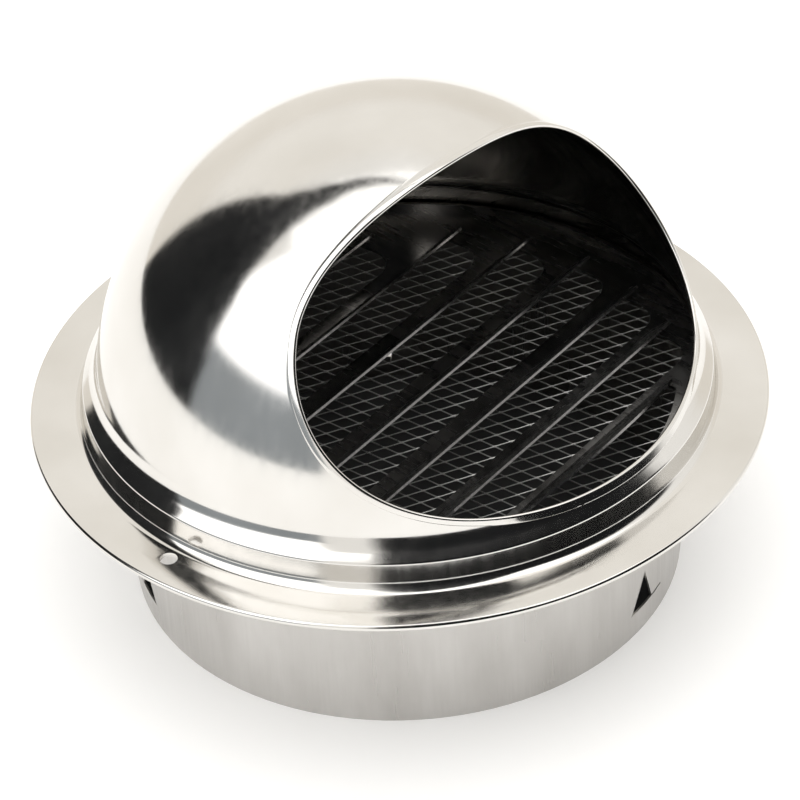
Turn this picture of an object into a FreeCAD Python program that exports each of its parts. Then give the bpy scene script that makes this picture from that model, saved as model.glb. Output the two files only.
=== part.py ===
import FreeCAD, Part
import Sketcher
import math
import os

from FreeCAD import Placement, Rotation, Vector

# Bull-nose hooded vent for a 150 mm round duct: hood, louvre plate, mesh screen and collar.
#
# The vent stands on the end of its collar. The origin is the centre of that end, +Z runs along the
# duct's axis to the top of the dome, and the mouth faces -Y. Sizes are millimetres.

SHEET = "Dimensions"

# Driving dimensions: alias, value, what it is.
DIMENSIONS = [
    ("gauge", 0.6, "thickness of every sheet"),
    ("duct_radius", 73.5, "outside of the collar's sleeve"),
    ("flange_under", 50.2, "underside of the collar's flange, above the collar's end"),
    ("flange_radius", 96.7, "outside of the hood's hemmed flange"),
    ("hem_width", 5.7, "fold under the flange, from the rim inwards"),
    ("hem_gap", 0.3, "play between the collar's flange and the inside of the hem"),
    ("dome_radius", 78.6, "outside of the spherical dome"),
    ("dome_centre", 55.5, "height of the sphere's centre"),
    ("dome_foot", 62.8, "height where the dome would meet the flare, with no bend"),
    ("step_radius", 82.3, "top edge of the step around the dome"),
    ("step_height", 59.0, "height of that edge"),
    ("wall_radius", 82.9, "foot of the step's wall, on the flange"),
    ("foot_bend", 8.0, "hollow bend from the dome to the flare"),
    ("step_bend", 1.2, "bend at the step's edge"),
    ("wall_bend", 3.0, "bend from the step's wall to the flange"),
    ("rim_bend", 0.8, "bend at the flange's rim"),
    ("knee_reach", 22.4, "mouth's side profile: how far in front of the axis its two arcs meet"),
    ("knee_height", 107.7, "height where they meet"),
    ("knee_slope", 66.0, "slope of the profile there, in degrees"),
    ("upper_scoop", 25.6, "radius of the mouth's upper arc"),
    ("lower_scoop", 77.0, "radius of the mouth's lower arc"),
    ("fold_width", 1.7, "folded edge round the mouth"),
    ("hole_turn", 3.8, "direction of the screw holes from +X, in degrees"),
    ("hole_circle", 88.4, "radius of the screw holes' circle"),
    ("hole_size", 4.5, "diameter of a screw hole"),
    ("plate_radius", 81.2, "outside of the louvre plate"),
    ("plate_top", 53.9, "top of the louvre plate"),
    ("plate_bend", 0.9, "bend from the plate to its lip"),
    ("plate_turn", 6.4, "turn of the louvres against the mouth, in degrees"),
    ("blade_width", 14.0, "width of a louvre blade, from its root to its free edge"),
    ("blade_angle", 45.0, "how far a blade is bent up, in degrees"),
    ("blade_corner", 8.0, "rounding of a blade's free corners"),
    ("blade_play", 0.2, "cut round a blade"),
    ("blade_limit", 72.5, "circle that the last blade's free edge follows"),
    ("first_root", -46.8, "root of the blade farthest from the mouth"),
    ("blade_pitch", 18.4, "step from blade to blade"),
    ("close_pitch", 16.1, "step between the last blades, next to the mouth"),
    ("pattern_shift", 11.0, "centre of the louvre pattern, towards the mouth"),
    ("pattern_radius", 66.0, "circle that the blades' ends follow"),
    ("mesh_radius", 80.2, "outside of the mesh screen"),
    ("mesh_gauge", 0.9, "thickness of the mesh screen"),
    ("mesh_long", 8.0, "long diagonal of a diamond"),
    ("mesh_short", 4.8, "short diagonal of a diamond"),
    ("mesh_open", 76.5, "circle that holds the whole diamonds"),
    ("mesh_turn", -53.7, "direction of the long diagonals from +X, in degrees"),
    ("strand", 0.55, "width of a strand"),
    ("neck_bend", 1.6, "bend from the collar's sleeve to its flange"),
    ("tongue_foot", 7.0, "height of a tongue's lower corners"),
    ("tongue_height", 11.0, "height of a tongue"),
    ("tongue_width", 10.4, "width of a tongue at its foot"),
    ("tongue_lean", 6.8, "how far along its foot the tongue's upper corner stands"),
    ("tongue_slit", 5.3, "slit beyond the tongue's foot"),
    ("slit_height", 0.5, "height of that slit"),
    ("tongue_angle", 24.0, "how far a tongue is bent inwards, in degrees"),
]

BLADES = 7
CLOSE_BLADES = 2
# Each tongue's direction from +X, in degrees, and the way round that it points.
TONGUES = [(-81.2, 1), (158.0, -1), (42.5, 1)]
# A length that reaches past the whole vent.
FAR = 130.0


def make_sheet(doc):
    """Write the driving dimensions to a spreadsheet."""
    sheet = doc.addObject("Spreadsheet::Sheet", SHEET)
    for row, (alias, value, note) in enumerate(DIMENSIONS, start=1):
        sheet.set(f"A{row}", alias)
        sheet.set(f"B{row}", str(value))
        sheet.setAlias(f"B{row}", alias)
        sheet.set(f"C{row}", note)
    doc.recompute()
    return sheet


def bound(text):
    """Turn an expression in plain aliases into one that names the sheet."""
    for alias in sorted((row[0] for row in DIMENSIONS), key=len, reverse=True):
        text = text.replace("{" + alias + "}", f"{SHEET}.{alias}")
    return text


def value_of(owner, text):
    """Work out an expression as a plain number."""
    result = owner.evalExpression(bound(text))
    return float(getattr(result, "Value", result))


def origin_plane(body, role):
    return next(item for item in body.Origin.OriginFeatures if item.Role == role)


def new_sketch(body, name, role):
    sketch = body.newObject("Sketcher::SketchObject", name)
    sketch.AttachmentSupport = [(origin_plane(body, role), "")]
    sketch.MapMode = "FlatFace"
    return sketch


def fix_point(sketch, edge, end, across, up):
    """Tie one point of an edge to expressions for its place; None leaves a coordinate free."""
    for kind, axis, text in (("DistanceX", -2, across), ("DistanceY", -1, up)):
        if text is None:
            continue
        number = value_of(sketch, text)
        if abs(number) < 1e-9:
            sketch.addConstraint(Sketcher.Constraint("PointOnObject", edge, end, axis))
            continue
        index = sketch.addConstraint(Sketcher.Constraint(kind, edge, end, number))
        sketch.setExpression(f"Constraints[{index}]", bound(text))


def closed_outline(sketch, corners):
    """Draw a closed outline of lines and arcs.

    A corner is (across, up) or (across, up, arc). The arc, to the next corner, is
    (centre across, centre up, "ccw" or "cw"). A coordinate may be (guess,), which the arc settles.
    """
    def text(entry):
        return None if isinstance(entry, tuple) else entry

    def place(corner):
        numbers = [value_of(sketch, entry[0] if isinstance(entry, tuple) else entry) for entry in corner[:2]]
        return Vector(numbers[0], numbers[1], 0)

    points = [place(corner) for corner in corners]
    edges = []
    for index, corner in enumerate(corners):
        start = points[index]
        end = points[(index + 1) % len(corners)]
        if len(corner) == 2:
            edges.append((sketch.addGeometry(Part.LineSegment(start, end), False), 1, 2))
            continue
        centre = Vector(value_of(sketch, corner[2][0]), value_of(sketch, corner[2][1]), 0)
        first, last = (start, end) if corner[2][2] == "ccw" else (end, start)
        angles = [math.atan2(point.y - centre.y, point.x - centre.x) for point in (first, last)]
        if angles[1] < angles[0]:
            angles[1] += 2 * math.pi
        circle = Part.Circle(centre, Vector(0, 0, 1), (start - centre).Length)
        edge = sketch.addGeometry(Part.ArcOfCircle(circle, *angles), False)
        edges.append((edge, 1, 2) if corner[2][2] == "ccw" else (edge, 2, 1))
    for index, corner in enumerate(corners):
        edge, start, end = edges[index]
        following, next_start, _ = edges[(index + 1) % len(edges)]
        sketch.addConstraint(Sketcher.Constraint("Coincident", edge, end, following, next_start))
        fix_point(sketch, edge, start, text(corner[0]), text(corner[1]))
        if len(corner) == 3:
            fix_point(sketch, edge, 3, corner[2][0], corner[2][1])
    return [edge for edge, _, _ in edges]


def revolve(doc, body, name, sketch):
    """Turn a sketch in the XZ plane once round the Z axis."""
    feature = body.newObject("PartDesign::Revolution", name)
    feature.Profile = sketch
    feature.ReferenceAxis = (sketch, ["V_Axis"])
    feature.Angle = 360
    doc.recompute()
    return feature


def circle_edges(shape, radius, height, tolerance=0.05):
    """Names of the full circles of one radius and height."""
    names = []
    for index, edge in enumerate(shape.Edges, start=1):
        if edge.Degenerated or not isinstance(edge.Curve, Part.Circle):
            continue
        same_radius = abs(edge.Curve.Radius - radius) < tolerance
        if same_radius and abs(edge.Curve.Center.z - height) < tolerance:
            names.append(f"Edge{index}")
    return names


def fillet_circle(doc, body, name, radius, height, bend):
    """Round the circular edge at one radius and height."""
    base = body.Tip
    names = circle_edges(base.Shape, value_of(body, radius), value_of(body, height))
    if not names:
        raise RuntimeError(f"{name}: no circle there")
    feature = body.newObject("PartDesign::Fillet", name)
    feature.Base = (base, names)
    feature.setExpression("Radius", bound(bend))
    doc.recompute()
    return feature


def mouth_outline(sketch, grow):
    """Draw the mouth's side profile in the YZ plane, larger all round by an expression."""
    across = f"-({{knee_reach}} + {{radius}} * sin({{knee_slope}}))"
    up = f"{{knee_height}} + {{radius}} * cos({{knee_slope}})"
    upper = (across.replace("{radius}", "{upper_scoop}"), up.replace("{radius}", "{upper_scoop}"))
    lower = (across.replace("{radius}", "{lower_scoop}"), up.replace("{radius}", "{lower_scoop}"))
    knee = (f"-({{knee_reach}} - ({grow}) * sin({{knee_slope}}))",
            f"{{knee_height}} - ({grow}) * cos({{knee_slope}})")
    top = f"{upper[1]} + {{upper_scoop}} + {grow}"
    bottom = f"{lower[1]} - {{lower_scoop}} - ({grow})"
    closed_outline(sketch, [
        (*knee, (*upper, "ccw")),
        (upper[0], (top,)),
        (str(-FAR), top),
        (str(-FAR), bottom),
        (lower[0], (bottom,), (*lower, "ccw")),
    ])


def make_scoop(doc, name, grow):
    """Make the block, as wide as the vent, that the mouth's profile cuts away."""
    body = doc.addObject("PartDesign::Body", name)
    sketch = new_sketch(body, name + "Profile", "YZ_Plane")
    mouth_outline(sketch, grow)
    pad = body.newObject("PartDesign::Pad", name + "Pad")
    pad.Profile = sketch
    pad.SideType = "Symmetric"
    pad.Length = 2 * FAR
    doc.recompute()
    return body


def keep_apart(sketch, first, second, gap):
    """Keep two lines parallel, an expression's distance apart."""
    sketch.addConstraint(Sketcher.Constraint("Parallel", first, second))
    distance = Sketcher.Constraint("Distance", first, 1, second, value_of(sketch, gap))
    index = sketch.addConstraint(distance)
    sketch.setExpression(f"Constraints[{index}]", bound(gap))


def make_hood_shell(doc):
    """Make the hood's turned sheet: dome, flare, step, flange and the fold under its rim."""
    body = doc.addObject("PartDesign::Body", "HoodShell")
    sketch = new_sketch(body, "HoodProfile", "XZ_Plane")
    flange_top = "{flange_under} + 2 * {gauge}"
    flange_base = "{flange_under} + {gauge}"
    hem_bottom = "{flange_under} - {gauge}"
    foot = "sqrt({dome_radius}^2 - ({dome_foot} - {dome_centre})^2)"
    edges = closed_outline(sketch, [
        ("0", "{dome_centre} + {dome_radius}", ("0", "{dome_centre}", "cw")),
        ((foot,), "{dome_foot}"),
        ("{step_radius}", "{step_height}"),
        ("{wall_radius}", flange_top),
        ("{flange_radius}", flange_top),
        ("{flange_radius}", hem_bottom),
        ("{flange_radius} - {hem_width}", hem_bottom),
        ("{flange_radius} - {hem_width}", "{flange_under}"),
        ("{flange_radius} - {gauge}", "{flange_under}"),
        ("{flange_radius} - {gauge}", flange_base),
        (("{wall_radius} - {gauge}",), flange_base),
        (("{step_radius} - {gauge}",), ("{step_height} - {gauge}",)),
        ((foot + " - {gauge}",), ("{dome_foot} - {gauge}",), ("0", "{dome_centre}", "ccw")),
        ("0", "{dome_centre} + {dome_radius} - {gauge}"),
    ])
    keep_apart(sketch, edges[1], edges[11], "{gauge}")
    keep_apart(sketch, edges[2], edges[10], "{gauge}")
    doc.recompute()
    inner_foot, inner_step, inner_wall = (sketch.getPoint(edges[number], 1) for number in (12, 11, 10))

    revolve(doc, body, "HoodTurned", sketch)
    fillet_circle(doc, body, "FootBend", foot, "{dome_foot}", "{foot_bend}")
    fillet_circle(doc, body, "StepBend", "{step_radius}", "{step_height}", "{step_bend}")
    fillet_circle(doc, body, "WallBend", "{wall_radius}", flange_top, "{wall_bend}")
    fillet_circle(doc, body, "RimBend", "{flange_radius}", flange_top, "{rim_bend}")
    fillet_circle(doc, body, "HemBend", "{flange_radius}", hem_bottom, "{rim_bend}")
    for name, point, bend in (
        ("InnerFootBend", inner_foot, "{foot_bend} + {gauge}"),
        ("InnerStepBend", inner_step, "{step_bend} - {gauge}"),
        ("InnerWallBend", inner_wall, "{wall_bend} + {gauge}"),
    ):
        fillet_circle(doc, body, name, str(point.x), str(point.y), bend)
    drill_flange(doc, body)
    return body


def drill_flange(doc, body):
    """Drill the two screw holes, opposite each other, up through a flange."""
    sketch = new_sketch(body, body.Name + "HoleSketch", "XY_Plane")
    radius = value_of(sketch, "{hole_size} / 2")
    across = "{hole_circle} * cos({hole_turn})"
    up = "{hole_circle} * sin({hole_turn})"
    centre = Vector(value_of(sketch, across), value_of(sketch, up), 0)
    edge = sketch.addGeometry(Part.Circle(centre, Vector(0, 0, 1), radius), False)
    fix_point(sketch, edge, 3, across, up)
    index = sketch.addConstraint(Sketcher.Constraint("Radius", edge, radius))
    sketch.setExpression(f"Constraints[{index}]", bound("{hole_size} / 2"))
    hole = body.newObject("PartDesign::Pocket", body.Name + "Hole")
    hole.Profile = sketch
    hole.Type = "ThroughAll"
    hole.Reversed = True
    doc.recompute()
    pattern = body.newObject("PartDesign::PolarPattern", body.Name + "Holes")
    pattern.Originals = [hole]
    pattern.Axis = (sketch, ["N_Axis"])
    pattern.Angle = 360
    pattern.Occurrences = 2
    body.Tip = pattern
    doc.recompute()


def make_fold_layer(doc):
    """Make a second layer of sheet over the dome and its flare, for the fold round the mouth."""
    layer = doc.addObject("PartDesign::Body", "FoldLayer")
    sketch = new_sketch(layer, "FoldProfile", "XZ_Plane")
    foot = "sqrt({dome_radius}^2 - ({dome_foot} - {dome_centre})^2)"
    low = "{step_height} + 1.5 * {gauge}"
    edges = closed_outline(sketch, [
        ("0", "{dome_centre} + {dome_radius} + {gauge}", ("0", "{dome_centre}", "cw")),
        ((foot + " + {gauge}",), ("{dome_foot} + {gauge}",)),
        (("{step_radius}",), low),
        (("{step_radius} - 2 * {gauge}",), low),
        ((foot + " - {gauge} / 2",), ("{dome_foot}",), ("0", "{dome_centre}", "ccw")),
        ("0", "{dome_centre} + {dome_radius} - {gauge} / 2"),
    ])
    ends = [(foot, "{dome_foot}"), ("{step_radius}", "{step_height}")]
    points = [Vector(value_of(sketch, across), value_of(sketch, up), 0) for across, up in ends]
    flare = sketch.addGeometry(Part.LineSegment(*points), True)
    for end, (across, up) in enumerate(ends, start=1):
        fix_point(sketch, flare, end, across, up)
    keep_apart(sketch, flare, edges[1], "{gauge}")
    keep_apart(sketch, flare, edges[3], "{gauge} / 2")
    doc.recompute()
    outer, inner = (sketch.getPoint(edges[number], 1) for number in (1, 4))
    revolve(doc, layer, "FoldTurned", sketch)
    fillet_circle(doc, layer, "FoldBend", str(outer.x), str(outer.y), "{foot_bend} - {gauge}")
    fillet_circle(doc, layer, "InnerFoldBend", str(inner.x), str(inner.y), "{foot_bend} + {gauge} / 2")
    return layer


def make_hood(doc):
    """Join the folded edge to the hood's shell and cut the mouth."""
    shell = make_hood_shell(doc)
    fold = doc.addObject("Part::Common", "MouthFold")
    fold.Base = make_fold_layer(doc)
    fold.Tool = make_scoop(doc, "WideScoop", "{fold_width}")
    closed = doc.addObject("Part::Fuse", "HoodClosed")
    closed.Base = shell
    closed.Tool = fold
    hood = doc.addObject("Part::Cut", "Hood")
    hood.Base = closed
    hood.Tool = make_scoop(doc, "Scoop", "0")
    hood.Label = "hood"
    return hood


def blade_places():
    """List each blade's root, as an expression for its distance towards the mouth."""
    places = []
    evenly = BLADES - CLOSE_BLADES
    for number in range(BLADES):
        root = f"{{first_root}} + {min(number, evenly - 1)} * {{blade_pitch}}"
        if number >= evenly:
            root += f" + {number - evenly + 1} * {{close_pitch}}"
        places.append(root)
    return places


def blade_outline(sketch, root, play):
    """Draw a blade's flat outline, straight at the root and rounded at the free corners."""
    middle = f"{root} + {{blade_width}} / 2 - {{pattern_shift}}"
    half = f"sqrt({{pattern_radius}}^2 - ({middle})^2) + {play}"
    edge = f"-({root} + {{blade_width}} + {play})"
    corner = f"{edge} + {{blade_corner}}"
    inset = f"{half} - {{blade_corner}}"
    closed_outline(sketch, [
        (f"-({half})", f"-({root})"),
        (half, f"-({root})"),
        (half, corner, (inset, corner, "cw")),
        (inset, (edge,)),
        (f"-({inset})", edge, (f"-({inset})", corner, "cw")),
        ((f"-({half})",), corner),
    ])


def last_blade_outline(sketch, root, play):
    """Draw the outline of the blade next to the mouth, whose free edge follows the plate's rim."""
    middle = f"{root} + {{blade_width}} / 2 - {{pattern_shift}}"
    half = f"sqrt({{pattern_radius}}^2 - ({middle})^2) + {play}"
    reach = f"-sqrt(({{blade_limit}} + {play})^2 - ({half})^2)"
    closed_outline(sketch, [
        (f"-({half})", f"-({root})"),
        (half, f"-({root})"),
        (half, reach, ("0", "0", "cw")),
        (f"-({half})", (reach,)),
    ])


def make_louvre_plate(doc):
    """Make a disc with a turned-down lip, and blades cut from it on three sides and bent up."""
    plate = doc.addObject("PartDesign::Body", "LouvreDisc")
    sketch = new_sketch(plate, "DiscProfile", "XZ_Plane")
    seat = "{flange_under} + {gauge}"
    under = "{plate_top} - {gauge}"
    closed_outline(sketch, [
        ("0", "{plate_top}"),
        ("{plate_radius}", "{plate_top}"),
        ("{plate_radius}", seat),
        ("{plate_radius} - {gauge}", seat),
        ("{plate_radius} - {gauge}", under),
        ("0", under),
    ])
    revolve(doc, plate, "DiscTurned", sketch)
    fillet_circle(doc, plate, "LipBend", "{plate_radius}", "{plate_top}", "{plate_bend}")

    slots = new_sketch(plate, "SlotOutlines", "XY_Plane")
    outlines = [blade_outline] * (BLADES - 1) + [last_blade_outline]
    for draw, root in zip(outlines, blade_places()):
        draw(slots, root, "{blade_play}")
    cut = plate.newObject("PartDesign::Pocket", "Slots")
    cut.Profile = slots
    cut.Type = "ThroughAll"
    cut.Reversed = True
    doc.recompute()

    pieces = [plate]
    angle = -value_of(plate, "{blade_angle}")
    middle = value_of(plate, "{plate_top} - {gauge} / 2")
    for number, root in enumerate(blade_places(), start=1):
        blade = doc.addObject("PartDesign::Body", f"Blade{number}")
        outline = new_sketch(blade, f"BladeOutline{number}", "XY_Plane")
        outlines[number - 1](outline, root, "0")
        pad = blade.newObject("PartDesign::Pad", f"BladePad{number}")
        pad.Profile = outline
        pad.SideType = "Symmetric"
        pad.setExpression("Length", bound("{gauge}"))
        hinge = Vector(0, -value_of(plate, root), 0)
        bend = Placement(Vector(0, 0, middle), Rotation(Vector(1, 0, 0), angle), hinge)
        blade.Placement = bend
        doc.recompute()

        half = outline.Shape.BoundBox.XMax
        knuckle = doc.addObject("Part::Cylinder", f"BladeBend{number}")
        knuckle.setExpression("Radius", bound("{gauge} / 2"))
        knuckle.Height = 2 * half
        knuckle.Placement = Placement(hinge + Vector(-half, 0, middle), Rotation(Vector(0, 1, 0), 90))
        pieces += [blade, knuckle]
    joined = doc.addObject("Part::MultiFuse", "LouvrePlate")
    joined.Shapes = pieces
    joined.Placement = Placement(Vector(), Rotation(Vector(0, 0, 1), value_of(plate, "{plate_turn}")))
    joined.Label = "louvre_plate"
    return joined


def make_mesh_screen(doc, sheet):
    """Make the expanded mesh: a disc with a plain edge and rows of diamond holes."""
    long_half = sheet.mesh_long / 2
    short_half = sheet.mesh_short / 2
    # A strand's width is measured square to it, so it takes more than that off each diagonal.
    side = math.hypot(long_half, short_half)
    hole_long = long_half - sheet.strand * side / (2 * short_half)
    hole_short = short_half - sheet.strand * side / (2 * long_half)
    base = Vector(0, 0, sheet.flange_under + sheet.gauge)
    wires = [Part.Wire(Part.makeCircle(sheet.mesh_radius, base))]
    columns = int(sheet.mesh_open / long_half) + 1
    rows = int(sheet.mesh_open / short_half) + 1
    for column in range(-columns, columns + 1):
        for row in range(-rows, rows + 1):
            if (column + row) % 2:
                continue
            centre = base + Vector(column * long_half, row * short_half, 0)
            if math.hypot(centre.x, centre.y) + long_half > sheet.mesh_open:
                continue
            corners = [centre + offset for offset in (
                Vector(hole_long, 0, 0),
                Vector(0, hole_short, 0),
                Vector(-hole_long, 0, 0),
                Vector(0, -hole_short, 0),
            )]
            wires.append(Part.makePolygon(corners + corners[:1]))
    screen = doc.addObject("Part::Feature", "MeshScreen")
    screen.Shape = Part.Face(wires, "Part::FaceMakerBullseye").extrude(Vector(0, 0, sheet.mesh_gauge))
    screen.Placement = Placement(Vector(), Rotation(Vector(0, 0, 1), sheet.mesh_turn))
    screen.Label = "mesh_screen"
    return screen


def triangle(sketch, side):
    """Draw a tongue's outline about the middle of its hinge; side is 1 or -1."""
    corners = [
        ("-{tongue_lean} / 2", "{tongue_foot}"),
        ("{tongue_width} - {tongue_lean} / 2", "{tongue_foot}"),
        ("{tongue_lean} / 2", "{tongue_foot} + {tongue_height}"),
    ]
    closed_outline(sketch, [(f"{side} * ({across})", up) for across, up in corners])


def make_collar(doc):
    """Make the sleeve with its out-turned flange, its screw holes and three lanced tongues."""
    sleeve = doc.addObject("PartDesign::Body", "Sleeve")
    sketch = new_sketch(sleeve, "SleeveProfile", "XZ_Plane")
    bore = "{duct_radius} - {gauge}"
    flange_top = "{flange_under} + {gauge}"
    edge = "{flange_radius} - {gauge} - {hem_gap}"
    closed_outline(sketch, [
        (bore, "0"),
        ("{duct_radius}", "0"),
        ("{duct_radius}", "{flange_under}"),
        (edge, "{flange_under}"),
        (edge, flange_top),
        (bore, flange_top),
    ])
    revolve(doc, sleeve, "SleeveTurned", sketch)
    fillet_circle(doc, sleeve, "NeckBend", "{duct_radius}", "{flange_under}", "{neck_bend}")
    fillet_circle(doc, sleeve, "MouthBend", bore, flange_top, "{neck_bend} + {gauge}")
    drill_flange(doc, sleeve)

    gaps = []
    tongues = []
    for number, (direction, side) in enumerate(TONGUES, start=1):
        turn = Placement(Vector(), Rotation(Vector(0, 0, 1), direction + 90))
        middle = -value_of(sleeve, "{duct_radius} - {gauge} / 2")

        gap = doc.addObject("PartDesign::Body", f"TongueGap{number}")
        outline = new_sketch(gap, f"GapOutline{number}", "XZ_Plane")
        triangle(outline, side)
        pad = gap.newObject("PartDesign::Pad", f"GapPad{number}")
        pad.Profile = outline
        pad.SideType = "Symmetric"
        pad.setExpression("Length", bound("20 * {gauge}"))
        gap.Placement = turn.multiply(Placement(Vector(0, middle, 0), Rotation()))

        slit = doc.addObject("Part::Box", f"TongueSlit{number}")
        reach = "{tongue_width} - {tongue_lean} / 2"
        slit.setExpression("Length", bound("{tongue_slit} + 1"))
        slit.setExpression("Width", bound("20 * {gauge}"))
        slit.setExpression("Height", bound("{slit_height}"))
        start = value_of(sleeve, f"{reach} - 1")
        if side < 0:
            start = -start - value_of(sleeve, "{tongue_slit} + 1")
        corner = Vector(start, middle - value_of(sleeve, "10 * {gauge}"), value_of(sleeve, "{tongue_foot}"))
        slit.Placement = turn.multiply(Placement(corner, Rotation()))
        gaps += [gap, slit]

        tongue = doc.addObject("PartDesign::Body", f"Tongue{number}")
        outline = new_sketch(tongue, f"TongueOutline{number}", "XZ_Plane")
        triangle(outline, side)
        pad = tongue.newObject("PartDesign::Pad", f"TonguePad{number}")
        pad.Profile = outline
        pad.SideType = "Symmetric"
        pad.setExpression("Length", bound("{gauge}"))
        lean = value_of(sleeve, "{tongue_lean}")
        height = value_of(sleeve, "{tongue_height}")
        hinge = Vector(side * lean, 0, height)
        pivot = Vector(-side * lean / 2, 0, value_of(sleeve, "{tongue_foot}"))
        bend = Rotation(hinge, side * value_of(sleeve, "{tongue_angle}"))
        tongue.Placement = turn.multiply(Placement(Vector(0, middle, 0), bend, pivot))
        tongues.append(tongue)
        doc.recompute()

    cut_out = doc.addObject("Part::MultiFuse", "TongueGaps")
    cut_out.Shapes = gaps
    lanced = doc.addObject("Part::Cut", "LancedSleeve")
    lanced.Base = sleeve
    lanced.Tool = cut_out
    collar = doc.addObject("Part::MultiFuse", "Collar")
    collar.Shapes = [lanced] + tongues
    collar.Label = "collar"
    return collar


def check_document(doc, parts):
    """Stop on any object that failed, and on any part without one valid solid."""
    for item in doc.Objects:
        if "Invalid" in item.State or "Error" in item.State:
            raise RuntimeError(f"{item.Name} failed: {item.State}")
    for part in parts:
        if part.Shape.isNull() or not part.Shape.isValid():
            raise RuntimeError(f"{part.Label} has no valid shape")
        if len(part.Shape.Solids) != 1:
            raise RuntimeError(f"{part.Label} has {len(part.Shape.Solids)} solids")


def main():
    doc = FreeCAD.newDocument("HoodedVent")
    sheet = make_sheet(doc)
    parts = [make_hood(doc), make_louvre_plate(doc), make_mesh_screen(doc, sheet), make_collar(doc)]
    doc.recompute()
    check_document(doc, parts)
    os.makedirs("parts", exist_ok=True)
    for part in parts:
        part.Shape.exportStep(f"parts/{part.Label}.step")
        box = part.Shape.BoundBox
        print(f"{part.Label}: volume {part.Shape.Volume:.1f}, X {box.XMin:.2f} to {box.XMax:.2f},"
              f" Y {box.YMin:.2f} to {box.YMax:.2f}, Z {box.ZMin:.2f} to {box.ZMax:.2f}")


main()
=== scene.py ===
import math

import bmesh
import bpy
import numpy as np
from mathutils import Matrix, Vector


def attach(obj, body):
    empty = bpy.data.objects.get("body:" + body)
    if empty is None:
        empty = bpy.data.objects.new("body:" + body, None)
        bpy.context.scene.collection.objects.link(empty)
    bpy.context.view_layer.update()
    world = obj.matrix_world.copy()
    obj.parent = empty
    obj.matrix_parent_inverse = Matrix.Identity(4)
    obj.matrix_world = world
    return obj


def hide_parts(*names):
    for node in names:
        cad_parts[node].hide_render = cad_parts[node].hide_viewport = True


# Bull-nose hooded duct vent in polished stainless steel. Sizes in the code are millimetres.
MM = 0.001

GAUGE = 0.6
DOME_RADIUS = 78.6
DOME_CENTRE = 55.5
FLANGE_UNDER = 50.2
FLANGE_RADIUS = 96.7
HEM_WIDTH = 5.7
RIM_BEND = 0.85
# The mouth's side profile: two arcs that meet at the knee, given by (distance ahead of the axis, height).
KNEE = (22.4, 107.7)
KNEE_SLOPE = math.radians(66.0)
UPPER_SCOOP = 25.6
LOWER_SCOOP = 77.0
FOLD_WIDTH = 1.7
# The turned section below the dome: (radius, height) of the step's edge, and the bends.
DOME_FOOT = 62.8
STEP = (82.3, 59.0)
WALL_RADIUS = 82.9
FOOT_BEND = 8.0
STEP_BEND = 1.2
WALL_BEND = 3.0
HOLE_CIRCLE = 88.4
HOLE_TURN = math.radians(3.8)
HOLE_SIZE = 4.5
COLLAR_RADIUS = 73.5
MESH_LONG = 8.0
MESH_SHORT = 4.8
MESH_REACH = 78.8
MESH_SEAT = FLANGE_UNDER + GAUGE + 0.45
MESH_TURN = math.radians(-53.7)

COLUMNS = 720
SMOOTH_ANGLE = math.radians(35)


# ---------------------------------------------------------------- meshes

def mesh_object(name, vertices, faces, smooth=True):
    """Make an object from points in millimetres."""
    mesh = bpy.data.meshes.new(name)
    mesh.from_pydata([tuple(v) for v in np.asarray(vertices) * MM], [], faces)
    mesh.validate()
    mesh.update()
    for polygon in mesh.polygons:
        polygon.use_smooth = smooth
    piece = bpy.data.objects.new(name, mesh)
    bpy.context.scene.collection.objects.link(piece)
    return piece


def ring_faces(rows, columns, closed_rows=False):
    """Join a grid of rows by columns into quads; columns close on themselves."""
    faces = []
    for row in range(rows if closed_rows else rows - 1):
        low = row * columns
        high = (row + 1) % rows * columns
        for column in range(columns):
            after = (column + 1) % columns
            faces.append((low + column, low + after, high + after, high + column))
    return faces


def rounded_path(corners, steps=8):
    """Turn (radius, height, bend) corners into points, with an arc of that bend at each corner."""
    points = []
    count = len(corners)
    for index, (r, z, bend) in enumerate(corners):
        here = np.array((r, z))
        if bend == 0 or index in (0, count - 1):
            points.append(here)
            continue
        back = np.array(corners[index - 1][:2]) - here
        ahead = np.array(corners[index + 1][:2]) - here
        back = back / np.linalg.norm(back)
        ahead = ahead / np.linalg.norm(ahead)
        half = math.acos(float(np.clip(back @ ahead, -1, 1))) / 2
        middle = back + ahead
        centre = here + middle / np.linalg.norm(middle) * bend / math.sin(half)
        start = here + back * bend / math.tan(half) - centre
        end = here + ahead * bend / math.tan(half) - centre
        first = math.atan2(start[1], start[0])
        turn = (math.atan2(end[1], end[0]) - first + math.pi) % (2 * math.pi) - math.pi
        for step in range(steps + 1):
            angle = first + turn * step / steps
            points.append(centre + bend * np.array((math.cos(angle), math.sin(angle))))
    return points


# ---------------------------------------------------------------- hood

def mouth_field(points):
    """How far inside the mouth's side profile each point lies; negative outside it."""
    ahead = np.array((math.sin(KNEE_SLOPE), math.cos(KNEE_SLOPE)))
    side = np.stack((-points[..., 1], points[..., 2]), axis=-1)
    knee = np.array(KNEE)
    above = (side - knee) @ np.array((-ahead[1], ahead[0])) >= 0
    upper = UPPER_SCOOP - np.linalg.norm(side - (knee + UPPER_SCOOP * ahead), axis=-1)
    lower = LOWER_SCOOP - np.linalg.norm(side - (knee + LOWER_SCOOP * ahead), axis=-1)
    return np.where(above, upper, lower)


def offset_corners(corners, gap):
    """Shift the inner corners of an open polyline to its right-hand side by a gap."""
    shifted = []
    for before, here, after in zip(corners, corners[1:], corners[2:]):
        normals = []
        for start, end in ((before, here), (here, after)):
            along = (end - start) / np.linalg.norm(end - start)
            normals.append(np.array((along[1], -along[0])))
        shifted.append(here + gap * (normals[0] + normals[1]) / (1 + normals[0] @ normals[1]))
    return shifted


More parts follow.
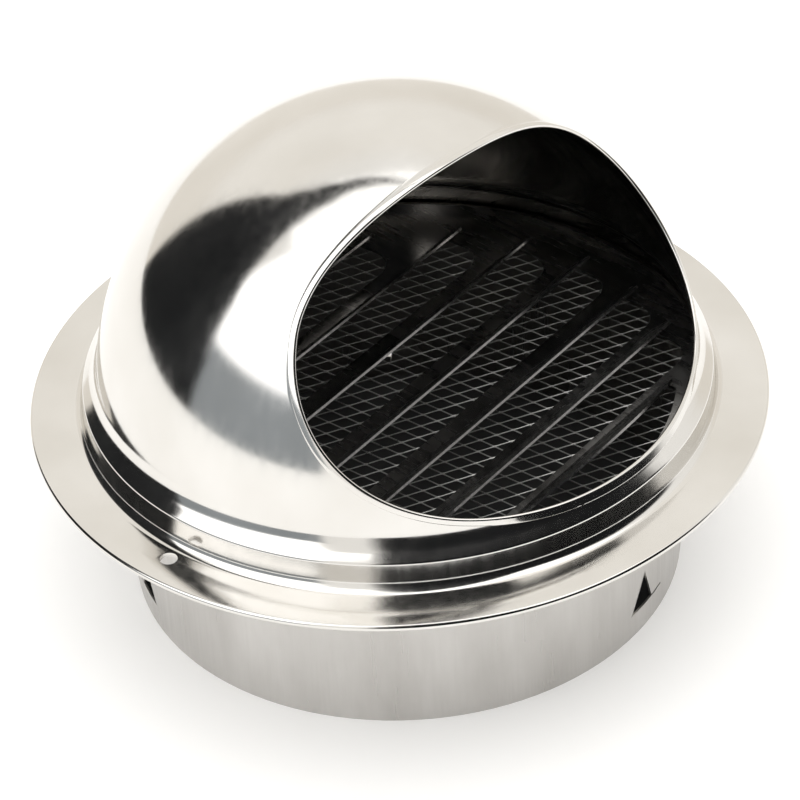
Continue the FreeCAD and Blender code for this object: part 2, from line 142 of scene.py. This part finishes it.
def dome_profile():
    """Sections of the dome, its cove and its flare, outside and inside the sheet.

    Each is a pair of rising elevations and the distances there from the sphere's centre. The ends of
    the two sections and the corner where the flare would meet the sphere are returned too.
    """
    centre = np.array((0.0, DOME_CENTRE))
    foot = np.array((math.sqrt(DOME_RADIUS ** 2 - (DOME_FOOT - DOME_CENTRE) ** 2), DOME_FOOT))
    along = (np.array(STEP) - foot) / np.linalg.norm(np.array(STEP) - foot)
    normal = np.array((-along[1], along[0]))
    # The cove's arc touches the sphere and the flare.
    start = foot + FOOT_BEND * normal - centre
    reach = DOME_RADIUS + FOOT_BEND
    root = math.sqrt((start @ along) ** 2 - start @ start + reach ** 2)
    shares = (-(start @ along) - root, -(start @ along) + root)
    cove = centre + start + next(share for share in shares if share >= 0) * along
    touch = math.atan2(cove[1] - centre[1], cove[0] - centre[0])
    normals = [np.array((math.cos(angle), math.sin(angle))) for angle in np.linspace(math.pi / 2, touch, 60)]
    points = [centre + DOME_RADIUS * spoke for spoke in normals]
    last = math.atan2(-normal[1], -normal[0]) % (2 * math.pi)
    for angle in np.linspace(touch + math.pi, last, 40)[1:]:
        spoke = np.array((math.cos(angle), math.sin(angle)))
        points.append(cove + FOOT_BEND * spoke)
        normals.append(-spoke)
    end = np.array(STEP) - along * STEP_BEND / 2
    points.append(end)
    normals.append(normal)
    profiles = []
    for depth in (0.0, GAUGE):
        line = np.array(points) - depth * np.array(normals) - centre
        elevation = np.arctan2(line[:, 1], line[:, 0])
        profiles.append((elevation[::-1], np.linalg.norm(line, axis=1)[::-1]))
    return profiles, (end, end - GAUGE * normal), foot


def make_hood():
    """Make the hood as one closed sheet: dome, folded mouth edge, flare, step, flange and hem."""
    # Great circles spread from the middle of the mouth, cross its edge and run to the flare's end.
    pole_height = math.radians(38.8)
    pole = np.array((0, -math.cos(pole_height), math.sin(pole_height)))
    down = np.array((0, pole[2], -pole[1]))
    across = np.cross(pole, down)
    bearing = np.arange(COLUMNS) * 2 * math.pi / COLUMNS
    heading = np.cos(bearing)[:, None] * down + np.sin(bearing)[:, None] * across
    centre = np.array((0, 0, DOME_CENTRE))
    (outside, inside), ends, foot_corner = dome_profile()

    def surface(angle, profile, lift=0.0):
        """Points of the dome's outer or inner surface at angles from the pole."""
        way = np.cos(angle)[:, None] * pole + np.sin(angle)[:, None] * heading
        distance = np.interp(np.arcsin(np.clip(way[:, 2], -1, 1)), *profile) + lift
        return centre + distance[:, None] * way

    def edge_angle(offset):
        """Angle from the pole to the mouth's edge, moved outwards by an offset."""
        farthest = 1.2
        trial = np.linspace(0, farthest, 600)
        fields = np.stack([mouth_field(surface(np.full(COLUMNS, a), outside)) for a in trial])
        first_out = np.argmax(fields < -offset, axis=0)
        low = trial[first_out - 1]
        high = trial[first_out]
        for _ in range(30):
            middle = (low + high) / 2
            within = mouth_field(surface(middle, outside)) > -offset
            low = np.where(within, middle, low)
            high = np.where(within, high, middle)
        return low

    def foot_angle(elevation):
        """Angle from the pole to the circle at this elevation."""
        size = np.hypot(pole[2], heading[:, 2])
        phase = np.arctan2(heading[:, 2], pole[2])
        return phase + np.arccos(math.sin(elevation) / size)

    # The turned section, from the flare's outside round the flange and hem to its inside.
    top = FLANGE_UNDER + 2 * GAUGE
    hem = FLANGE_RADIUS - HEM_WIDTH
    corners = [foot_corner, np.array(STEP), np.array((WALL_RADIUS, top)), np.array((hem, top))]
    step_inside, wall_inside = offset_corners(corners, GAUGE)
    section = rounded_path([
        (*ends[0], 0),
        (*STEP, STEP_BEND),
        (WALL_RADIUS, top, WALL_BEND),
        (hem, top, 0),
        (FLANGE_RADIUS, top, RIM_BEND),
        (FLANGE_RADIUS, FLANGE_UNDER - GAUGE, RIM_BEND),
        (hem, FLANGE_UNDER - GAUGE, 0.15),
        (hem, FLANGE_UNDER, 0.15),
        (FLANGE_RADIUS - GAUGE, FLANGE_UNDER, 0.1),
        (FLANGE_RADIUS - GAUGE, FLANGE_UNDER + GAUGE, 0.1),
        (*wall_inside, WALL_BEND + GAUGE),
        (*step_inside, STEP_BEND - GAUGE),
        (*ends[1], 0),
    ])

    edge = edge_angle(0.0)
    fold = edge_angle(FOLD_WIDTH)
    foot = foot_angle(outside[0][0])
    foot_inside = foot_angle(inside[0][0])
    rows = []

    # Inside of the dome, from its foot to the mouth.
    nose = 0.3
    for share in np.concatenate((np.linspace(0, 0.1, 25)[:-1], np.linspace(0.1, 1, 50))):
        rows.append(surface(foot_inside + (edge + nose * (fold - edge) - foot_inside) * share, inside))
    # Rounded nose of the fold, its outer leaf and the step down from it to the dome.
    for angle in np.linspace(-90, 90, 13)[1:]:
        share = nose * (1 - math.cos(math.radians(angle)))
        lift = GAUGE * math.sin(math.radians(angle))
        rows.append(surface(edge + share * (fold - edge), outside, lift))
    for share, height in ((0.6, 1.0), (0.88, 1.0), (0.95, 0.96), (0.985, 0.86), (1.0, 0.7),
                          (1.0, 0.2), (1.01, 0.06), (1.04, 0.0)):
        rows.append(surface(edge + share * (fold - edge), outside, GAUGE * height))
    # Outside of the dome, from the fold to the flare's end.
    start = edge + 1.04 * (fold - edge)
    for share in np.concatenate((np.linspace(0, 0.88, 80), np.linspace(0.88, 1, 50)[1:]))[1:]:
        rows.append(surface(start + (foot - start) * share, outside))

    outer_turn = np.unwrap(np.arctan2(rows[-1][:, 1], rows[-1][:, 0]))
    inner_turn = np.unwrap(np.arctan2(rows[0][:, 1], rows[0][:, 0]))
    inner_turn += 2 * math.pi * np.round((outer_turn - inner_turn).mean() / (2 * math.pi))
    for number, (radius, height) in enumerate(section[1:-1], start=1):
        share = number / (len(section) - 1)
        turn = outer_turn + (inner_turn - outer_turn) * share
        level = np.full(COLUMNS, height)
        rows.append(np.column_stack((radius * np.cos(turn), radius * np.sin(turn), level)))
    faces = ring_faces(len(rows), COLUMNS, closed_rows=True)
    hood = mesh_object("hood_sheet", np.concatenate(rows), faces)
    recalculate(hood)
    for side in (0, math.pi):
        drill(hood, HOLE_CIRCLE, HOLE_TURN + side)
    hood.data.set_sharp_from_angle(angle=SMOOTH_ANGLE)
    return hood


def make_mesh_screen():
    """Make the expanded mesh: short flat strands, each tilted, that meet in wider knuckles."""
    long_half = MESH_LONG / 2
    short_half = MESH_SHORT / 2
    # Places along a strand, with half its width and half its depth there.
    stations = ((0.0, 0.28, 0.2), (0.14, 0.13, 0.16), (0.86, 0.13, 0.16), (1.0, 0.28, 0.2))
    # An octagon, as shares of half the width and half the depth.
    octagon = ((-1, -0.5), (-0.5, -1), (0.5, -1), (1, -0.5), (1, 0.5), (0.5, 1), (-0.5, 1), (-1, 0.5))
    corners = len(octagon)
    last_ring = (len(stations) - 1) * corners
    vertices = []
    faces = []

    def add_strand(start, end, tilt):
        along = (end - start) / np.linalg.norm(end - start)
        side = np.array((-along[1], along[0], 0.0))
        lift = np.array((0, 0, 1.0))
        wide = math.cos(tilt) * side + math.sin(tilt) * lift
        thick = -math.sin(tilt) * side + math.cos(tilt) * lift
        base = len(vertices)
        for share, half_width, half_depth in stations:
            middle = start + (end - start) * share
            for u, v in octagon:
                vertices.append(middle + u * half_width * wide + v * half_depth * thick)
        for ring in range(len(stations) - 1):
            for corner in range(corners):
                a = base + ring * corners + corner
                b = base + ring * corners + (corner + 1) % corners
                faces.append((a, b, b + corners, a + corners))
        faces.append(tuple(range(base, base + corners))[::-1])
        faces.append(tuple(range(base + last_ring, base + last_ring + corners)))

    columns = int(MESH_REACH / long_half) + 2
    rows = int(MESH_REACH / short_half) + 2
    for column in range(-columns, columns + 1):
        for row in range(-rows, rows + 1):
            if (column + row) % 2:
                continue
            # A knuckle, and the two strands that leave it to the right.
            knuckle = np.array(((column + 1) * long_half, row * short_half, MESH_SEAT))
            for way in (1, -1):
                end = knuckle + np.array((long_half, way * short_half, 0))
                if max(np.hypot(*knuckle[:2]), np.hypot(*end[:2])) > MESH_REACH:
                    continue
                add_strand(knuckle, end, way * math.radians(18))
    points = np.array(vertices)
    rotated = points.copy()
    rotated[:, 0] = points[:, 0] * math.cos(MESH_TURN) - points[:, 1] * math.sin(MESH_TURN)
    rotated[:, 1] = points[:, 0] * math.sin(MESH_TURN) + points[:, 1] * math.cos(MESH_TURN)
    return mesh_object("mesh_strands", rotated, faces, smooth=False)


def recalculate(piece):
    """Point a closed mesh's faces outwards."""
    work = bmesh.new()
    work.from_mesh(piece.data)
    bmesh.ops.recalc_face_normals(work, faces=work.faces)
    work.to_mesh(piece.data)
    work.free()


def drill(piece, circle, turn):
    """Cut a screw hole down through a flange."""
    steps = 48
    angles = np.arange(steps) * 2 * math.pi / steps
    centre = circle * np.array((math.cos(turn), math.sin(turn)))
    ring = centre + HOLE_SIZE / 2 * np.column_stack((np.cos(angles), np.sin(angles)))
    low = np.column_stack((ring, np.full(steps, FLANGE_UNDER - 3)))
    high = np.column_stack((ring, np.full(steps, FLANGE_UNDER + 4)))
    faces = ring_faces(2, steps) + [tuple(range(steps))[::-1], tuple(range(steps, 2 * steps))]
    cutter = mesh_object("hole_cutter", np.concatenate((low, high)), faces, smooth=False)
    modifier = piece.modifiers.new("hole", "BOOLEAN")
    modifier.operation = "DIFFERENCE"
    modifier.solver = "EXACT"
    modifier.object = cutter
    apply_modifiers(piece)
    bpy.data.objects.remove(cutter)


def apply_modifiers(piece):
    """Replace a mesh by what its modifiers make of it."""
    graph = bpy.context.evaluated_depsgraph_get()
    result = bpy.data.meshes.new_from_object(piece.evaluated_get(graph))
    piece.modifiers.clear()
    old = piece.data
    piece.data = result
    result.name = old.name
    bpy.data.meshes.remove(old)


# ---------------------------------------------------------------- materials

def new_material(name):
    """Make a material and give back its nodes, links and shader."""
    material = bpy.data.materials.new(name)
    material.use_nodes = True
    nodes = material.node_tree.nodes
    shader = nodes["Principled BSDF"]
    return material, nodes, material.node_tree.links, shader


def noise(nodes, links, vector, scale, detail, stretch=(1, 1, 1)):
    """A noise pattern on the object's own coordinates, stretched by a scale on each axis."""
    mapping = nodes.new("ShaderNodeMapping")
    mapping.inputs["Scale"].default_value = stretch
    links.new(vector, mapping.inputs["Vector"])
    pattern = nodes.new("ShaderNodeTexNoise")
    pattern.inputs["Scale"].default_value = scale
    pattern.inputs["Detail"].default_value = detail
    links.new(mapping.outputs["Vector"], pattern.inputs["Vector"])
    return pattern.outputs["Fac"]


def spread(nodes, links, source, low, high, start=0.3, end=0.7):
    """Map a pattern to a range of values."""
    node = nodes.new("ShaderNodeMapRange")
    node.inputs["From Min"].default_value = start
    node.inputs["From Max"].default_value = end
    node.inputs["To Min"].default_value = low
    node.inputs["To Max"].default_value = high
    links.new(source, node.inputs["Value"])
    return node.outputs["Result"]


def metal(name, tones, roughness, patches, grain, bump, metallic=1.0):
    """Sheet metal: two tones in soft patches, a grain in its roughness and a slight relief.

    patches, grain and bump are the (scale, detail, stretch) of their noise; bump adds a strength.
    """
    material, nodes, links, shader = new_material(name)
    shader.inputs["Metallic"].default_value = metallic
    place = nodes.new("ShaderNodeTexCoord").outputs["Object"]

    cloud = noise(nodes, links, place, *patches)
    tint = nodes.new("ShaderNodeValToRGB")
    tint.color_ramp.elements[0].position = 0.3
    tint.color_ramp.elements[0].color = (*tones[0], 1)
    tint.color_ramp.elements[1].position = 0.7
    tint.color_ramp.elements[1].color = (*tones[1], 1)
    links.new(cloud, tint.inputs["Fac"])
    links.new(tint.outputs["Color"], shader.inputs["Base Color"])

    fine = noise(nodes, links, place, *grain)
    both = nodes.new("ShaderNodeMath")
    both.operation = "MULTIPLY"
    links.new(spread(nodes, links, fine, 0.8, 1.2), both.inputs[0])
    links.new(spread(nodes, links, cloud, *roughness), both.inputs[1])
    links.new(both.outputs["Value"], shader.inputs["Roughness"])

    relief = nodes.new("ShaderNodeBump")
    relief.inputs["Strength"].default_value = bump[3]
    relief.inputs["Distance"].default_value = 0.001
    links.new(noise(nodes, links, place, *bump[:3]), relief.inputs["Height"])
    links.new(relief.outputs["Normal"], shader.inputs["Normal"])
    return material


def polished_steel():
    """Polished sheet with hazy patches, a faint grain and slight waves."""
    return metal("polished_steel", ((0.655, 0.635, 0.60), (0.75, 0.735, 0.71)), (0.07, 0.15),
                 (26.0, 5.0, (1, 1, 1)), (420.0, 3.0, (1, 1, 0.2)), (20.0, 1.0, (1, 1, 1), 0.22))


def collar_steel():
    """Satin sheet rolled into a sleeve: fine marks along the duct's axis and cloudy patches."""
    return metal("collar_steel", ((0.50, 0.485, 0.465), (0.63, 0.615, 0.595)), (0.28, 0.42),
                 (60.0, 6.0, (1, 1, 0.35)), (900.0, 3.0, (1, 1, 0.04)),
                 (700.0, 2.0, (1, 1, 0.03), 0.10))


def louvre_steel_with_painted_shade():
    """Pressed sheet, duller than the hood, with a dark base colour that is painted shade for the plate
    inside the hood.
    """
    # The low tones below are painted shade; the roughness is the plate's duller finish.
    return metal("louvre_steel_with_painted_shade", ((0.26, 0.255, 0.25), (0.36, 0.355, 0.35)), (0.20, 0.32),
                 (45.0, 4.0, (1, 1, 1)), (600.0, 3.0, (1, 0.1, 1)), (300.0, 2.0, (1, 0.2, 1), 0.05))


def mesh_steel():
    """Bright slit sheet, slightly rough on its cut strands."""
    return metal("mesh_steel", ((0.66, 0.66, 0.64), (0.88, 0.88, 0.86)), (0.30, 0.45),
                 (90.0, 3.0, (1, 1, 1)), (900.0, 2.0, (1, 1, 1)), (800.0, 2.0, (1, 1, 1), 0.08), 0.75)


def dress(piece, material):
    """Give a piece one material."""
    piece.data.materials.clear()
    piece.data.materials.append(material)


# ---------------------------------------------------------------- studio

def make_floor():
    """Pale floor that glows a little, so the vent's shadow stays faint."""
    half = 6000
    corners = [(-half, -half, 0), (half, -half, 0), (half, half, 0), (-half, half, 0)]
    floor = mesh_object("floor", corners, [(0, 1, 2, 3)], smooth=False)
    material, _, _, shader = new_material("pale_floor")
    shader.inputs["Base Color"].default_value = (0.95, 0.95, 0.95, 1)
    shader.inputs["Roughness"].default_value = 0.9
    shader.inputs["Emission Color"].default_value = (1, 1, 1, 1)
    shader.inputs["Emission Strength"].default_value = 0.12
    floor.data.materials.append(material)


def make_duct_shade_card():
    """Dark card on the floor inside the duct's end, painted shade that stands in for the dark duct, so that
    what shows through the mesh is dark.
    """
    steps = 96
    reach = COLLAR_RADIUS - 0.2
    turn = np.arange(steps) * 2 * math.pi / steps
    disc = np.column_stack((reach * np.cos(turn), reach * np.sin(turn), np.full(steps, 0.2)))
    shade_disc = mesh_object("duct_shade_card", disc, [tuple(range(steps))], smooth=False)
    material, _, _, shader = new_material("painted_duct_shade")
    # Near-black colour: painted shade of the duct seen beyond the mesh.
    shader.inputs["Base Color"].default_value = (0.07, 0.07, 0.07, 1)
    shader.inputs["Roughness"].default_value = 0.8
    shade_disc.data.materials.append(material)


def area_light(name, azimuth, elevation, distance, size, power, colour=(1, 1, 1)):
    """A soft square light that points at the vent."""
    data = bpy.data.lights.new(name, "AREA")
    data.shape = "SQUARE"
    data.size = size
    data.energy = power
    data.color = colour
    lamp = bpy.data.objects.new(name, data)
    bpy.context.scene.collection.objects.link(lamp)
    turn = math.radians(azimuth)
    tilt = math.radians(elevation)
    away = Vector((math.cos(tilt) * math.cos(turn), math.cos(tilt) * math.sin(turn), math.sin(tilt)))
    lamp.location = Vector((0, 0, 0.06)) + away * distance
    lamp.rotation_euler = away.to_track_quat("Z", "Y").to_euler()
    return lamp


def card(name, outline, distance, glow, colour, soft):
    """A curved card of the studio that only reflections show, with a soft edge.

    The outline is a polygon of (azimuth, elevation) in degrees; soft is the width of the edge.
    """
    corners = np.array(outline, dtype=float)
    low = corners.min(axis=0)
    high = corners.max(axis=0)
    columns, rows = np.ceil((high - low) / 1.25).astype(int) + 1
    across = np.linspace(low[0], high[0], columns)
    up = np.linspace(low[1], high[1], rows)
    azimuth, elevation = np.meshgrid(across, up)
    spots = np.stack((azimuth.ravel(), elevation.ravel()), axis=1)
    inside = np.zeros(len(spots), dtype=bool)
    depth = np.full(len(spots), 1e9)
    for start, end in zip(corners, np.roll(corners, -1, axis=0)):
        side = end - start
        share = np.clip(((spots - start) @ side) / (side @ side), 0, 1)
        depth = np.minimum(depth, np.linalg.norm(spots - start - share[:, None] * side, axis=1))
        crosses = (start[1] > spots[:, 1]) != (end[1] > spots[:, 1])
        level = np.where(crosses, (spots[:, 1] - start[1]) / (side[1] if side[1] else 1.0), 0)
        inside ^= crosses & (spots[:, 0] < start[0] + level * side[0])
    cover = np.clip(np.where(inside, depth, 0) / soft, 0, 1)
    cover = cover * cover * (3 - 2 * cover)
    turn, tilt = np.radians(spots).T
    points = np.stack((np.cos(tilt) * np.cos(turn), np.cos(tilt) * np.sin(turn), np.sin(tilt)), axis=1)
    faces = []
    for row in range(rows - 1):
        for column in range(columns - 1):
            first = row * columns + column
            corner = (first, first + 1, first + columns + 1, first + columns)
            if max(cover[list(corner)]) > 0:
                faces.append(corner)
    piece = mesh_object(name, points * distance + np.array((0, 0, 60)), faces)
    layer = piece.data.attributes.new("cover", "FLOAT", "POINT")
    layer.data.foreach_set("value", cover)
    material, nodes, links, shader = new_material(name)
    shader.inputs["Base Color"].default_value = (0, 0, 0, 1)
    shader.inputs["Specular IOR Level"].default_value = 0.0
    shader.inputs["Emission Color"].default_value = (*colour, 1)
    shader.inputs["Emission Strength"].default_value = glow
    reading = nodes.new("ShaderNodeAttribute")
    reading.attribute_name = "cover"
    links.new(reading.outputs["Fac"], shader.inputs["Alpha"])
    piece.data.materials.append(material)
    piece.visible_camera = False
    piece.visible_diffuse = False
    piece.visible_shadow = False


def block(low, high):
    """Outline of a card between two azimuths and two elevations."""
    return [low, (high[0], low[1]), high, (low[0], high[1])]


def make_cards():
    """Dark cards and soft boxes round the vent, for the polished sheet to reflect."""
    dark = (0.9, 0.95, 1.0)
    # Broad below and drawn out to a point at the top, as (azimuth, elevation).
    boot = [(94, -5), (94, 50), (88, 57), (75, 62.5), (50, 66), (5, 69), (5, 71), (60, 71), (95, 68),
            (113, 61.5), (130, 49), (141, 33), (146, 16), (146, -5)]
    card("side_card", boot, 1500, 0.02, dark, 1.7)
    card("grey_card", block((141, -6), (200, 24)), 1520, 0.38, (0.88, 0.95, 1.0), 4.5)
    card("front_card", block((212, -8), (322, 56)), 1500, 0.015, dark, 6.0)
    card("top_card", block((210, 48), (274, 89)), 1490, 0.015, dark, 4.0)
    card("soft_box", block((132, 12), (198, 66)), 1560, 2.0, (1, 1, 1), 5.0)
    card("back_card", block((-20, 12), (112, 64)), 1580, 1.07, (1.0, 0.97, 0.915), 16.0)
    card("low_back_card", block((-20, -16), (108, 28)), 1570, 0.98, (1.0, 0.955, 0.88), 12.0)


def make_world():
    """Even, slightly warm light from all round."""
    world = bpy.data.worlds.new("studio")
    bpy.context.scene.world = world
    world.use_nodes = True
    background = world.node_tree.nodes["Background"]
    background.inputs["Color"].default_value = (1.0, 0.985, 0.955, 1)
    background.inputs["Strength"].default_value = 1.08


def make_camera():
    """Camera at the azimuth, elevation, distance and roll of the view."""
    azimuth = math.radians(-133.9)
    elevation = math.radians(37.19)
    target = Vector((-3.48, -3.78, 50.4)) * MM
    away = Vector((math.cos(elevation) * math.cos(azimuth),
                   math.cos(elevation) * math.sin(azimuth),
                   math.sin(elevation)))
    right = Vector((-math.sin(azimuth), math.cos(azimuth), 0))
    up = away.cross(right)
    roll = math.radians(3.58)
    camera_right = right * math.cos(roll) - up * math.sin(roll)
    camera_up = right * math.sin(roll) + up * math.cos(roll)
    data = bpy.data.cameras.new("camera")
    data.sensor_width = 36.0
    data.lens = 163.3
    data.clip_end = 50.0
    camera = bpy.data.objects.new("camera", data)
    bpy.context.scene.collection.objects.link(camera)
    matrix = Matrix((camera_right, camera_up, away)).transposed().to_4x4()
    matrix.translation = target + away * 946.8 * MM
    camera.matrix_world = matrix
    bpy.context.scene.camera = camera


# ---------------------------------------------------------------- the vent

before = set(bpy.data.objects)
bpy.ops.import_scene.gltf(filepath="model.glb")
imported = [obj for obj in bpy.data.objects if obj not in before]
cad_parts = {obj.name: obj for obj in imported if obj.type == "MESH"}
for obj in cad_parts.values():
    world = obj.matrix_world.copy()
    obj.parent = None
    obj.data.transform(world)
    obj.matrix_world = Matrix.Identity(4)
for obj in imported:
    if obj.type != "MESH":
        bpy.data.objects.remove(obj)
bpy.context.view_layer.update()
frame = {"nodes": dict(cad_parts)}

steel = polished_steel()
hood = make_hood()
dress(hood, steel)
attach(hood, "root")
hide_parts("hood")

nodes = frame["nodes"]
dress(nodes["louvre_plate"], louvre_steel_with_painted_shade())
screen = make_mesh_screen()
dress(screen, mesh_steel())
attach(screen, "root")
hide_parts("mesh_screen")
dress(nodes["collar"], collar_steel())

make_floor()
make_duct_shade_card()
make_cards()
make_world()
make_camera()
area_light("key", -134, 84, 2.0, 2.5, 14)

bpy.context.scene.view_settings.view_transform = "Standard"
